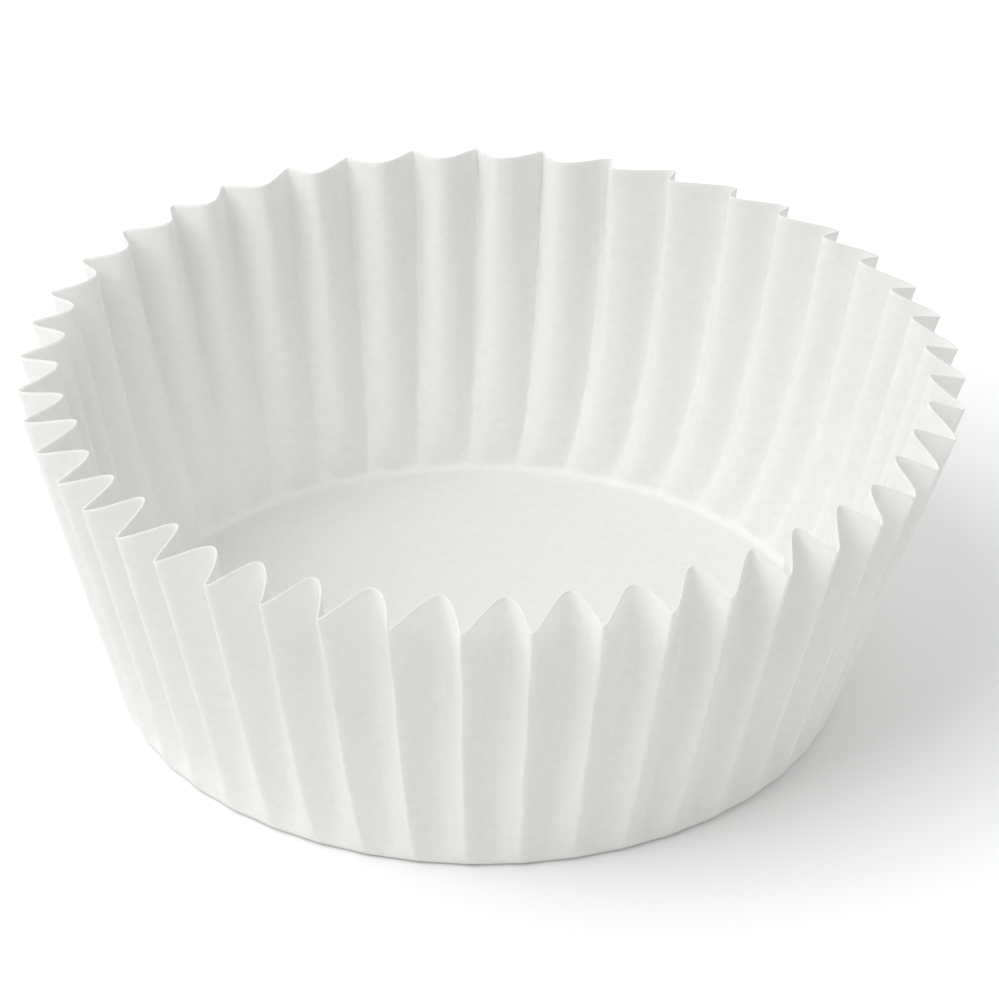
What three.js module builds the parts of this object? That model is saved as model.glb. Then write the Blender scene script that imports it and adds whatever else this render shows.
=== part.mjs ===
// Cupcake liner: a thin paper cup with a flat round floor and a flared, fluted wall.
// It is pressed from one flat disc. The wall stands on a smaller circle than its paper
// did in the disc, and the spare paper becomes the flutes, so their depth isn't a size
// of its own: it is nothing at the floor's edge and grows up to the rim.
// Millimetres, +Z up. The origin is the centre of the floor's underside.

import * as THREE from "three";

const FLOOR_RADIUS = 24.9; // the flat floor, out to where the paper turns up
const CORNER_RADIUS = 1.7; // the bend between floor and wall
const WALL_REACH = 25.75; // along the paper, from the floor's edge to the cut rim
const WALL_LEAN = 15.9; // degrees outwards from upright, the mean all round
const PAPER = 0.1; // thickness of the sheet
const FLUTES = 45;
const FIRST_CREST = 108; // degrees from +X about +Z, where one outer crease stands
const INNER_PLACE = 0.62; // where the inner crease lies between two outer ones, 0.5 is half way
const FADE_REACH = 3; // the flutes are pressed out over about this much paper at the floor

// Pressed paper springs back unevenly. Each wave below has a number of lobes round
// the cup, a size in degrees and the direction of its largest value in degrees.
const LEAN_WAVES = [
  { lobes: 1, size: 1.3, towards: -25 },
  { lobes: 2, size: 1.5, towards: 0 },
  { lobes: 3, size: 1, towards: 16 },
];
const SPACING_WAVES = [
  { lobes: 1, size: 2.2, towards: 213 },
  { lobes: 2, size: 2.6, towards: -35 },
  { lobes: 3, size: 0.6, towards: -43 },
];
const DEPTH_WAVE = { lobes: 1, size: 0.18, towards: 238 }; // its size is a share of the depth

const SIDES_PER_FLUTE = 6; // an even number, so that both creases fall on an edge
const CORNER_STEPS = 3;
const WALL_STEPS = 4;

const COLUMNS = FLUTES * SIDES_PER_FLUTE;
const UP = new THREE.Vector3(0, 0, 1);

// The value of one wave at a direction in radians, in the units of the wave's size.
function waveAt({ lobes, size, towards }, direction) {
  return size * Math.cos(lobes * (direction - THREE.MathUtils.degToRad(towards)));
}

// The sum of waves of angle at a direction, both in radians.
function sumOfWaves(waves, direction) {
  const degrees = waves.reduce((sum, wave) => sum + waveAt(wave, direction), 0);
  return THREE.MathUtils.degToRad(degrees);
}

// The wall's cross-section without flutes: floor, round corner, then a straight lean.
// reach runs along the paper from the floor's edge. inward points to the cup's inside.
function profileAt(reach, lean) {
  const fullTurn = Math.PI / 2 - lean;
  const turn = Math.min(reach / CORNER_RADIUS, fullTurn);
  const straight = Math.max(reach - CORNER_RADIUS * fullTurn, 0);
  return {
    radius: FLOOR_RADIUS + CORNER_RADIUS * Math.sin(turn) + straight * Math.cos(turn),
    height: PAPER / 2 + CORNER_RADIUS * (1 - Math.cos(turn)) + straight * Math.sin(turn),
    inward: new THREE.Vector2(-Math.sin(turn), Math.cos(turn)),
  };
}

// A flute is a slanting fold: half a pitch across and this deep, its flank is as long
// as half a pitch was in the flat disc. Near the floor it is pressed nearly flat.
function fluteDepth(reach, radius, direction) {
  const discRadius = FLOOR_RADIUS + reach;
  const spare = Math.max(discRadius ** 2 - radius ** 2, 0);
  const fade = 1 - Math.exp(-reach / FADE_REACH);
  const unevenness = 1 + waveAt(DEPTH_WAVE, direction);
  return (Math.PI / FLUTES) * Math.sqrt(spare) * fade * unevenness;
}

// How far into the cup the sheet lies across one flute, from 0 on the sharp outer
// crease to 1 on the rounded inner one. Whole numbers of flute are outer creases and
// halves are inner ones.
function foldAcross(flute) {
  return Math.abs(Math.sin(Math.PI * flute));
}

// Moves the inner creases off the middle, so that one flank is wider than the other.
function leanAcross(flute) {
  const whole = Math.floor(flute);
  const half = 2 * (flute - whole);
  return whole + (half < 1 ? half * INNER_PLACE : 1 - (2 - half) * (1 - INNER_PLACE));
}

// A point half way through the paper. flute counts flutes round the cup.
function sheetPoint(flute, reach) {
  const across = (2 * Math.PI * leanAcross(flute)) / FLUTES;
  const even = THREE.MathUtils.degToRad(FIRST_CREST) + across;
  const direction = even + sumOfWaves(SPACING_WAVES, even);
  const lean = THREE.MathUtils.degToRad(WALL_LEAN) + sumOfWaves(LEAN_WAVES, direction);
  const { radius, height, inward } = profileAt(reach, lean);
  const fold = fluteDepth(reach, radius, direction) * foldAcross(flute);
  const out = radius + fold * inward.x;
  return new THREE.Vector3(
    out * Math.cos(direction),
    out * Math.sin(direction),
    height + fold * inward.y,
  );
}

// Distances along the paper of the rows of points, from the floor's edge to the rim.
function rowReaches() {
  const cornerEnd = CORNER_RADIUS * (Math.PI / 2 - THREE.MathUtils.degToRad(WALL_LEAN));
  const corner = Array.from({ length: CORNER_STEPS }, (_, i) => (cornerEnd * i) / CORNER_STEPS);
  const wall = Array.from({ length: WALL_STEPS + 1 }, (_, i) => {
    return cornerEnd + ((WALL_REACH - cornerEnd) * i) / WALL_STEPS;
  });
  return [...corner, ...wall];
}

// The step from a point to the inner face of the paper. It leans to suit the two
// flanks that meet there, so that the paper keeps its thickness across a fold.
function halfPaperStep(rows, row, column) {
  if (row === 0) return UP.clone().multiplyScalar(PAPER / 2);
  const here = rows[row][column];
  const above = rows[Math.min(row + 1, rows.length - 1)][column];
  const uphill = above.clone().sub(rows[row - 1][column]);
  const before = rows[row][(column + COLUMNS - 1) % COLUMNS];
  const after = rows[row][(column + 1) % COLUMNS];
  const flankBefore = uphill.clone().cross(here.clone().sub(before)).normalize();
  const flankAfter = uphill.clone().cross(after.clone().sub(here)).normalize();
  const mitre = 1 + flankBefore.dot(flankAfter);
  return flankBefore.add(flankAfter).multiplyScalar(PAPER / 2 / mitre);
}

// The numbers of a closed ring of points, as the two triangles between each pair of
// neighbours on one ring and the next.
function bandBetween(lower, upper) {
  const triangles = [];
  for (let i = 0; i < COLUMNS; i += 1) {
    const next = (i + 1) % COLUMNS;
    triangles.push(lower + i, lower + next, upper + next);
    triangles.push(lower + i, upper + next, upper + i);
  }
  return triangles;
}

// The flat disc inside a ring of points, as triangles round its centre point.
function discInside(ring, centre) {
  const triangles = [];
  for (let i = 0; i < COLUMNS; i += 1) {
    triangles.push(centre, ring + i, ring + ((i + 1) % COLUMNS));
  }
  return triangles;
}

function flipped(triangles) {
  return triangles.slice().reverse();
}

// The whole sheet as one closed skin: outer face, cut rim, inner face and floor.
function linerGeometry() {
  const rows = rowReaches().map((reach) => {
    return Array.from({ length: COLUMNS }, (_, i) => sheetPoint(i / SIDES_PER_FLUTE, reach));
  });
  const outer = [];
  const inner = [];
  rows.forEach((points, row) => {
    points.forEach((point, column) => {
      const step = halfPaperStep(rows, row, column);
      outer.push(point.clone().sub(step));
      inner.push(point.clone().add(step));
    });
  });
  const floorCentres = [new THREE.Vector3(0, 0, 0), new THREE.Vector3(0, 0, PAPER)];

  const innerStart = outer.length;
  const underCentre = outer.length + inner.length;
  const triangles = [
    ...flipped(discInside(0, underCentre)),
    ...discInside(innerStart, underCentre + 1),
  ];
  for (let row = 0; row + 1 < rows.length; row += 1) {
    const ring = row * COLUMNS;
    triangles.push(...bandBetween(ring, ring + COLUMNS));
    triangles.push(...flipped(bandBetween(innerStart + ring, innerStart + ring + COLUMNS)));
  }
  const rim = (rows.length - 1) * COLUMNS;
  triangles.push(...bandBetween(rim, innerStart + rim));

  const geometry = new THREE.BufferGeometry();
  geometry.setFromPoints([...outer, ...inner, ...floorCentres]);
  geometry.setIndex(triangles);
  geometry.computeVertexNormals();
  return geometry;
}

const whitePaper = new THREE.MeshStandardMaterial({
  color: 0xf3f1ec,
  roughness: 0.9,
  metalness: 0,
  flatShading: true,
});

const liner = new THREE.Mesh(linerGeometry(), whitePaper);
liner.name = "liner";

const group = new THREE.Group();
group.add(liner);

export default group;
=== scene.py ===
"""A white paper cupcake liner, standing on a white table in soft light from the left."""
import math

import bpy
import numpy as np
from mathutils import Matrix, Vector


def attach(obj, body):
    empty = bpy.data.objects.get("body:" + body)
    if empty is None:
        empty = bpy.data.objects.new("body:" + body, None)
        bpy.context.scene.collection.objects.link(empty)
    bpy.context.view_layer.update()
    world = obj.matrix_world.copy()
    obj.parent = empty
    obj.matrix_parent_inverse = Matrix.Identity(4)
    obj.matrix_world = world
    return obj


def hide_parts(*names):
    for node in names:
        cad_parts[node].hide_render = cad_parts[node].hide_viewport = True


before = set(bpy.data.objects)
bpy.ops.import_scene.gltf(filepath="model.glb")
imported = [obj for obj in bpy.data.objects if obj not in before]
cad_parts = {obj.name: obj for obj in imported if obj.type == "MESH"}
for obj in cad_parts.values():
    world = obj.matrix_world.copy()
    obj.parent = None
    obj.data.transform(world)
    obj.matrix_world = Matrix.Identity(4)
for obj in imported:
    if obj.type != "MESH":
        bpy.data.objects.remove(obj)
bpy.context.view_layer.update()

MM = 0.001

# the liner, in millimetres and degrees
FLOOR_RADIUS = 25.38
CORNER_RADIUS = 0.9
WALL_REACH = 25.36  # along the paper, from the floor's edge to the cut rim
WALL_LEAN = 16.22  # outwards from upright, the mean all round
PAPER = 0.1
FLUTES = 45
FIRST_CREST = 108.0  # the direction of one outer crease
FADE_REACH = 0.9  # the flutes are pressed out over about this much paper at the floor
BASE_TURN = 0.9  # degrees, how far the creases stand turned at the floor
SPREAD_REACH = 5.0  # the creases are evenly spaced at the floor and spread over this much paper
STEP_REACH = 6.4  # where the outer creases step a little sideways, along the paper
STEP_LENGTH = 0.5

# the shape of a flute
INNER_PLACE = (0.54, 0.68)  # where the inner crease lies between two outer ones, floor and rim
DEPTH_SHARE = 1.07  # of the depth that suits straight flanks
STEEPNESS = 0.7  # at the rim, how the flank before an outer crease drops to it, 1 is an arch
STEEP_START = 1.5  # how late that shape sets in on the way up the wall, 1 is evenly
TENT = 0.35  # how far the other flank is straight, between a round arch and a tent
TENT_ROUND = 0.25  # of half a flute, the small round at the top of the tent

# lobes round the cup, size in degrees, direction of the largest value in degrees
LEAN_WAVES = [(1, 1.3, -25), (2, 1.5, 0), (3, 1.0, 16)]
SPACING_WAVES = [(1, 2.2, 213), (2, 2.6, -35), (3, 0.6, -43)]
# the same for the shape of a flute, where the size is in the unit of what it changes
DEPTH_WAVE = (1, 0.24, 260)
PLACE_WAVE = (1, 0.14, 10)
STEEPNESS_WAVE = (1, 0.1, 90)
TENT_WAVE = (1, 0.4, 270)
ROUND_WAVE = (2, 0.12, 0)

# how single flutes differ from their neighbours: standard deviations or lowest and highest
OUTER_SHIFT = 0.03  # of a flute's width, sideways at the rim
INNER_SHIFT = 0.04
WAVER = 0.008  # of a flute's width, sideways along each crease
WAVER_TURNS = (7, 17)  # radians from floor to rim, of the two waves that a crease follows
STEP_SIZE = (0.0, 0.035)  # of a flute's width
DEPTH_SPREAD = 0.04  # of a flute's depth
OUTER_ROUND = (0.16, 0.24)  # of half a flute, the small round of the outer crease
SEED = 1612

# the mesh
SIDES_PER_FLUTE = 24
CREASE_CROWDING = (0.4, 0.45)  # how much closer columns stand at outer creases, at all creases
FLOOR_ROWS = 3
FLOOR_START = 0.1  # of the floor's radius, the first row round the centre point
CORNER_ROWS = 6
WALL_ROWS = 24
STEP_ROWS = (-1.2, -0.6, 0, 0.6, 1.2)  # in step lengths from the step
STEP_CLEAR = 1.5  # in step lengths, how near to the step no other row lies
RIM_SOFT = 0.25  # the last strip below the cut rim, over which its shading is rounded

# the paper, with the scales in waves per metre
THROUGH_SHARE = 0.33  # of the light that the paper scatters, how much comes out behind
THROUGH_TONE = (0.94, 0.936, 0.922, 1)
CLOUD_TONES = (0.915, 0.912, 0.9, 1), (0.97, 0.968, 0.958, 1)
CLOUD_SCALE = 1800
FIBRE_SCALE = 3500
FIBRE_HEIGHT = 0.02 * MM

# the table
TABLE_HALF = 3.0
TABLE_DROP = 0.02 * MM  # below the liner's underside
TABLE_TONE = (0.93, 0.93, 0.93, 1)

# the view of the photograph
VIEW_ELEVATION = 32.52
VIEW_ROLL = 0.46
VIEW_DISTANCE = 666.4
VIEW_CENTRE = (1.37, 0.0, 13.9)
LENS = 336.0

# the light: a pale room, lighter to the left, the back and above, and one large soft lamp
SKY_LEVEL = 0.695
SKY_SLOPE = (-0.1, 0.3, 0.07)
KEY_PLACE = (-0.5, -0.3, 0.81)
KEY_SIZE = 0.8
KEY_POWER = 6.4


def wave_at(wave, direction):
    lobes, size, towards = wave
    return size * np.cos(lobes * (direction - math.radians(towards)))


def radians_of_waves(waves, direction):
    return np.radians(sum(wave_at(wave, direction) for wave in waves))


def profile(reach, lean):
    """Radius, height and turn of the wall without flutes, at a distance along the paper."""
    full_turn = math.pi / 2 - lean
    turn = np.clip(reach / CORNER_RADIUS, 0, full_turn)
    straight = np.maximum(reach - CORNER_RADIUS * full_turn, 0)
    radius = FLOOR_RADIUS + CORNER_RADIUS * np.sin(turn) + straight * np.cos(turn)
    height = PAPER / 2 + CORNER_RADIUS * (1 - np.cos(turn)) + straight * np.sin(turn)
    radius = radius + np.minimum(reach, 0)
    return radius, height, turn


def between_creases(values, flute):
    """Reads a list with a value for each crease, smoothly from one crease to the next."""
    place = 2 * (flute % FLUTES)
    before = np.floor(place).astype(int)
    part = place - before
    part = part ** 2 * (3 - 2 * part)
    after = values[(before + 1) % len(values)]
    return values[before % len(values)] * (1 - part) + after * part


def rounded(distance, size):
    """A straight line from 0 to 1 that starts as a small round."""
    return (np.hypot(distance, size) - size) / (np.hypot(1, size) - size)


def fold_across(flute, reach, direction, outer_round):
    """How far in the sheet lies, from 0 on an outer crease to 1 on the inner one after it."""
    climb = np.clip(reach / WALL_REACH, 0, 1) ** STEEP_START
    from_outer = rounded(1 - np.abs(2 * (flute % 1) - 1), outer_round)
    steepness = STEEPNESS + wave_at(STEEPNESS_WAVE, direction)
    arch = np.sin(math.pi / 2 * from_outer)
    drop = np.sin(math.pi / 2 * from_outer ** steepness)
    tent = 1 - rounded(1 - from_outer, TENT_ROUND)
    straight = TENT + wave_at(TENT_WAVE, direction)
    after = arch + straight * (tent - arch)
    return np.where(flute % 1 < 0.5, after, after + climb * (drop - after))


def lean_across(flute, reach):
    """Moves the inner creases off the middle, so that one flank is wider than the other."""
    low, high = INNER_PLACE
    uneven = wave_at(PLACE_WAVE, math.radians(FIRST_CREST) + 2 * math.pi * flute / FLUTES)
    inner = low + (high + uneven - low) * np.clip(reach / WALL_REACH, 0, 1)
    half = 2 * (flute % 1)
    return np.floor(flute) + np.where(half < 1, half * inner, 1 - (2 - half) * (1 - inner))


def flute_depth(reach, radius, direction):
    """How deep the folds are that take up the paper the narrower wall has no room for."""
    spare = np.maximum((FLOOR_RADIUS + reach) ** 2 - radius ** 2, 0)
    fade = 1 - np.exp(-(np.maximum(reach, 0) / FADE_REACH) ** 2)
    share = DEPTH_SHARE + wave_at(DEPTH_WAVE, direction)
    return math.pi / FLUTES * np.sqrt(spare) * fade * share


def crease_wander(rng, flute, reach):
    """How far each crease strays sideways on its way up the wall, in flutes."""
    climb = np.clip(reach / WALL_REACH, 0, 1)
    shift = rng.normal(0, 1, 2 * FLUTES) * ([OUTER_SHIFT, INNER_SHIFT] * FLUTES)
    starts = rng.uniform(0, 2 * math.pi, (2, 2 * FLUTES))
    step = rng.uniform(*STEP_SIZE, 2 * FLUTES) * ([1, 0] * FLUTES)
    bump = np.exp(-((reach - STEP_REACH) / STEP_LENGTH) ** 2)
    waves = [np.sin(turns * climb + between_creases(start, flute))
             for turns, start in zip(WAVER_TURNS, starts)]
    return (between_creases(shift, flute) * climb + between_creases(step, flute) * bump
            + WAVER * sum(waves) * np.sin(math.pi / 2 * climb))


def sheet_points(flute, reach):
    """Points half way through the paper, in millimetres, on a grid of rows and columns."""
    rng = np.random.default_rng(SEED)
    wander = crease_wander(rng, flute, reach)
    deeper = between_creases(1 + rng.normal(0, DEPTH_SPREAD, 2 * FLUTES), flute)
    outer_round = between_creases(rng.uniform(*OUTER_ROUND, 2 * FLUTES), flute)

    across = lean_across(flute, reach) + wander
    even = math.radians(FIRST_CREST) + 2 * math.pi * across / FLUTES
    spread = 1 - np.exp(-np.maximum(reach, 0) / SPREAD_REACH)
    direction = even + spread * radians_of_waves(SPACING_WAVES, even)
    direction = direction + (1 - spread) * math.radians(BASE_TURN)
    lean = math.radians(WALL_LEAN) + radians_of_waves(LEAN_WAVES, direction)
    radius, height, turn = profile(reach, lean)
    outer_round = outer_round + wave_at(ROUND_WAVE, direction)
    fold = flute_depth(reach, radius, direction) * deeper
    fold = fold * fold_across(flute, reach, direction, outer_round)
    out = radius - fold * np.sin(turn)
    return np.stack([out * np.cos(direction), out * np.sin(direction),
                     height + fold * np.cos(turn)], -1)


def column_places():
    """Columns round the cup, counted in flutes and set closest together at the outer creases."""
    at_outer, at_all = CREASE_CROWDING
    even = np.arange(FLUTES * SIDES_PER_FLUTE) / SIDES_PER_FLUTE
    both = at_all * np.sin(4 * math.pi * even) / (4 * math.pi)
    return even - both - at_outer * np.sin(2 * math.pi * even) / (2 * math.pi)


def row_reaches():
    """Distances of the rows along the paper. They are negative on the floor."""
    corner_end = CORNER_RADIUS * (math.pi / 2 - math.radians(WALL_LEAN))
    floor = -FLOOR_RADIUS * (1 - np.linspace(FLOOR_START, 1, FLOOR_ROWS, endpoint=False))
    corner = np.linspace(0, corner_end, CORNER_ROWS, endpoint=False)
    wall = np.append(np.linspace(corner_end, WALL_REACH - RIM_SOFT, WALL_ROWS), WALL_REACH)
    step = STEP_REACH + STEP_LENGTH * np.array(STEP_ROWS)
    wall = wall[np.abs(wall - STEP_REACH) > STEP_CLEAR * STEP_LENGTH]
    return np.concatenate([floor, corner, np.sort(np.append(wall, step))])


def make_liner():
    flute, reach = np.meshgrid(column_places(), row_reaches())
    points = sheet_points(flute, reach)
    rows, columns = flute.shape
    centre = rows * columns
    corners = np.vstack([points.reshape(-1, 3), [[0, 0, PAPER / 2]]]) * MM

    faces = [(centre, i, (i + 1) % columns) for i in range(columns)]
    for row in range(rows - 1):
        for i in range(columns):
            after = (i + 1) % columns
            faces.append((row * columns + i, (row + 1) * columns + i,
                          (row + 1) * columns + after, row * columns + after))
    mesh = bpy.data.meshes.new("paper_liner")
    mesh.from_pydata(corners.tolist(), [], faces)
    mesh.polygons.foreach_set("use_smooth", [True] * len(mesh.polygons))
    liner = bpy.data.objects.new("paper_liner", mesh)
    bpy.context.scene.collection.objects.link(liner)

    thick = liner.modifiers.new("thickness", "SOLIDIFY")
    thick.thickness = PAPER * MM
    thick.offset = 0
    thick.use_even_offset = True
    depsgraph = bpy.context.evaluated_depsgraph_get()
    solid = bpy.data.meshes.new_from_object(liner.evaluated_get(depsgraph))
    liner.modifiers.clear()
    liner.data = solid
    return liner


def paper_material():
    material = bpy.data.materials.new("white_paper")
    material.use_nodes = True
    nodes, links = material.node_tree.nodes, material.node_tree.links
    nodes.clear()
    output = nodes.new("ShaderNodeOutputMaterial")
    mix = nodes.new("ShaderNodeMixShader")
    mix.inputs["Fac"].default_value = THROUGH_SHARE
    front = nodes.new("ShaderNodeBsdfPrincipled")
    front.inputs["Roughness"].default_value = 0.85
    front.inputs["Specular IOR Level"].default_value = 0.25
    through = nodes.new("ShaderNodeBsdfTranslucent")
    through.inputs["Color"].default_value = THROUGH_TONE

    place = nodes.new("ShaderNodeTexCoord")
    cloud = nodes.new("ShaderNodeTexNoise")
    cloud.inputs["Scale"].default_value = CLOUD_SCALE
    cloud.inputs["Detail"].default_value = 5
    spread = nodes.new("ShaderNodeMapRange")
    spread.inputs["From Min"].default_value = 0.3
    spread.inputs["From Max"].default_value = 0.7
    tone = nodes.new("ShaderNodeMix")
    tone.data_type = "RGBA"
    tone.inputs["A"].default_value, tone.inputs["B"].default_value = CLOUD_TONES
    fibre = nodes.new("ShaderNodeTexNoise")
    fibre.inputs["Scale"].default_value = FIBRE_SCALE
    fibre.inputs["Detail"].default_value = 6
    bump = nodes.new("ShaderNodeBump")
    bump.inputs["Strength"].default_value = 0.3
    bump.inputs["Distance"].default_value = FIBRE_HEIGHT

    links.new(place.outputs["Object"], cloud.inputs["Vector"])
    links.new(place.outputs["Object"], fibre.inputs["Vector"])
    links.new(cloud.outputs["Fac"], spread.inputs["Value"])
    links.new(spread.outputs["Result"], tone.inputs["Factor"])
    links.new(tone.outputs["Result"], front.inputs["Base Color"])
    links.new(fibre.outputs["Fac"], bump.inputs["Height"])
    links.new(bump.outputs["Normal"], front.inputs["Normal"])
    links.new(front.outputs["BSDF"], mix.inputs[1])
    links.new(through.outputs["BSDF"], mix.inputs[2])
    links.new(mix.outputs["Shader"], output.inputs["Surface"])
    return material


def make_floor():
    half = TABLE_HALF
    mesh = bpy.data.meshes.new("table")
    mesh.from_pydata([(-half, -half, 0), (half, -half, 0), (half, half, 0), (-half, half, 0)],
                     [], [(0, 1, 2, 3)])
    floor = bpy.data.objects.new("table", mesh)
    bpy.context.scene.collection.objects.link(floor)
    floor.location.z = -TABLE_DROP
    material = bpy.data.materials.new("table_white")
    material.use_nodes = True
    shader = material.node_tree.nodes["Principled BSDF"]
    shader.inputs["Base Color"].default_value = TABLE_TONE
    shader.inputs["Roughness"].default_value = 1.0
    shader.inputs["Specular IOR Level"].default_value = 0.0
    mesh.materials.append(material)


def make_sky():
    world = bpy.data.worlds.new("studio")
    world.use_nodes = True
    nodes, links = world.node_tree.nodes, world.node_tree.links
    background = nodes["Background"]
    background.inputs["Color"].default_value = (1.0, 1.0, 1.0, 1)
    place = nodes.new("ShaderNodeTexCoord")
    slope = nodes.new("ShaderNodeVectorMath")
    slope.operation = "DOT_PRODUCT"
    slope.inputs[1].default_value = SKY_SLOPE
    level = nodes.new("ShaderNodeMath")
    level.inputs[1].default_value = SKY_LEVEL
    links.new(place.outputs["Generated"], slope.inputs[0])
    links.new(slope.outputs["Value"], level.inputs[0])
    links.new(level.outputs["Value"], background.inputs["Strength"])
    bpy.context.scene.world = world


def make_key():
    data = bpy.data.lights.new("key", "AREA")
    data.shape = "SQUARE"
    data.size = KEY_SIZE
    data.energy = KEY_POWER
    key = bpy.data.objects.new("key", data)
    key.location = KEY_PLACE
    key.rotation_euler = (-Vector(KEY_PLACE)).to_track_quat("-Z", "Y").to_euler()
    bpy.context.scene.collection.objects.link(key)


def make_camera():
    data = bpy.data.cameras.new("photo_camera")
    data.lens = LENS
    data.sensor_width = 36
    data.clip_start, data.clip_end = 0.05, 20
    camera = bpy.data.objects.new("photo_camera", data)
    tilt = math.radians(VIEW_ELEVATION)
    back = Vector((0, -math.cos(tilt), math.sin(tilt)))
    camera.location = (Vector(VIEW_CENTRE) + back * VIEW_DISTANCE) * MM
    upright = Matrix.Rotation(math.pi / 2 - tilt, 3, "X")
    rolled = upright @ Matrix.Rotation(math.radians(VIEW_ROLL), 3, "Z")
    camera.rotation_euler = rolled.to_euler()
    bpy.context.scene.collection.objects.link(camera)
    bpy.context.scene.camera = camera


make_camera()
liner = make_liner()
liner.data.materials.append(paper_material())
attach(liner, "root")
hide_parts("liner")
make_floor()
make_sky()
make_key()
bpy.context.scene.view_settings.view_transform = "Standard"
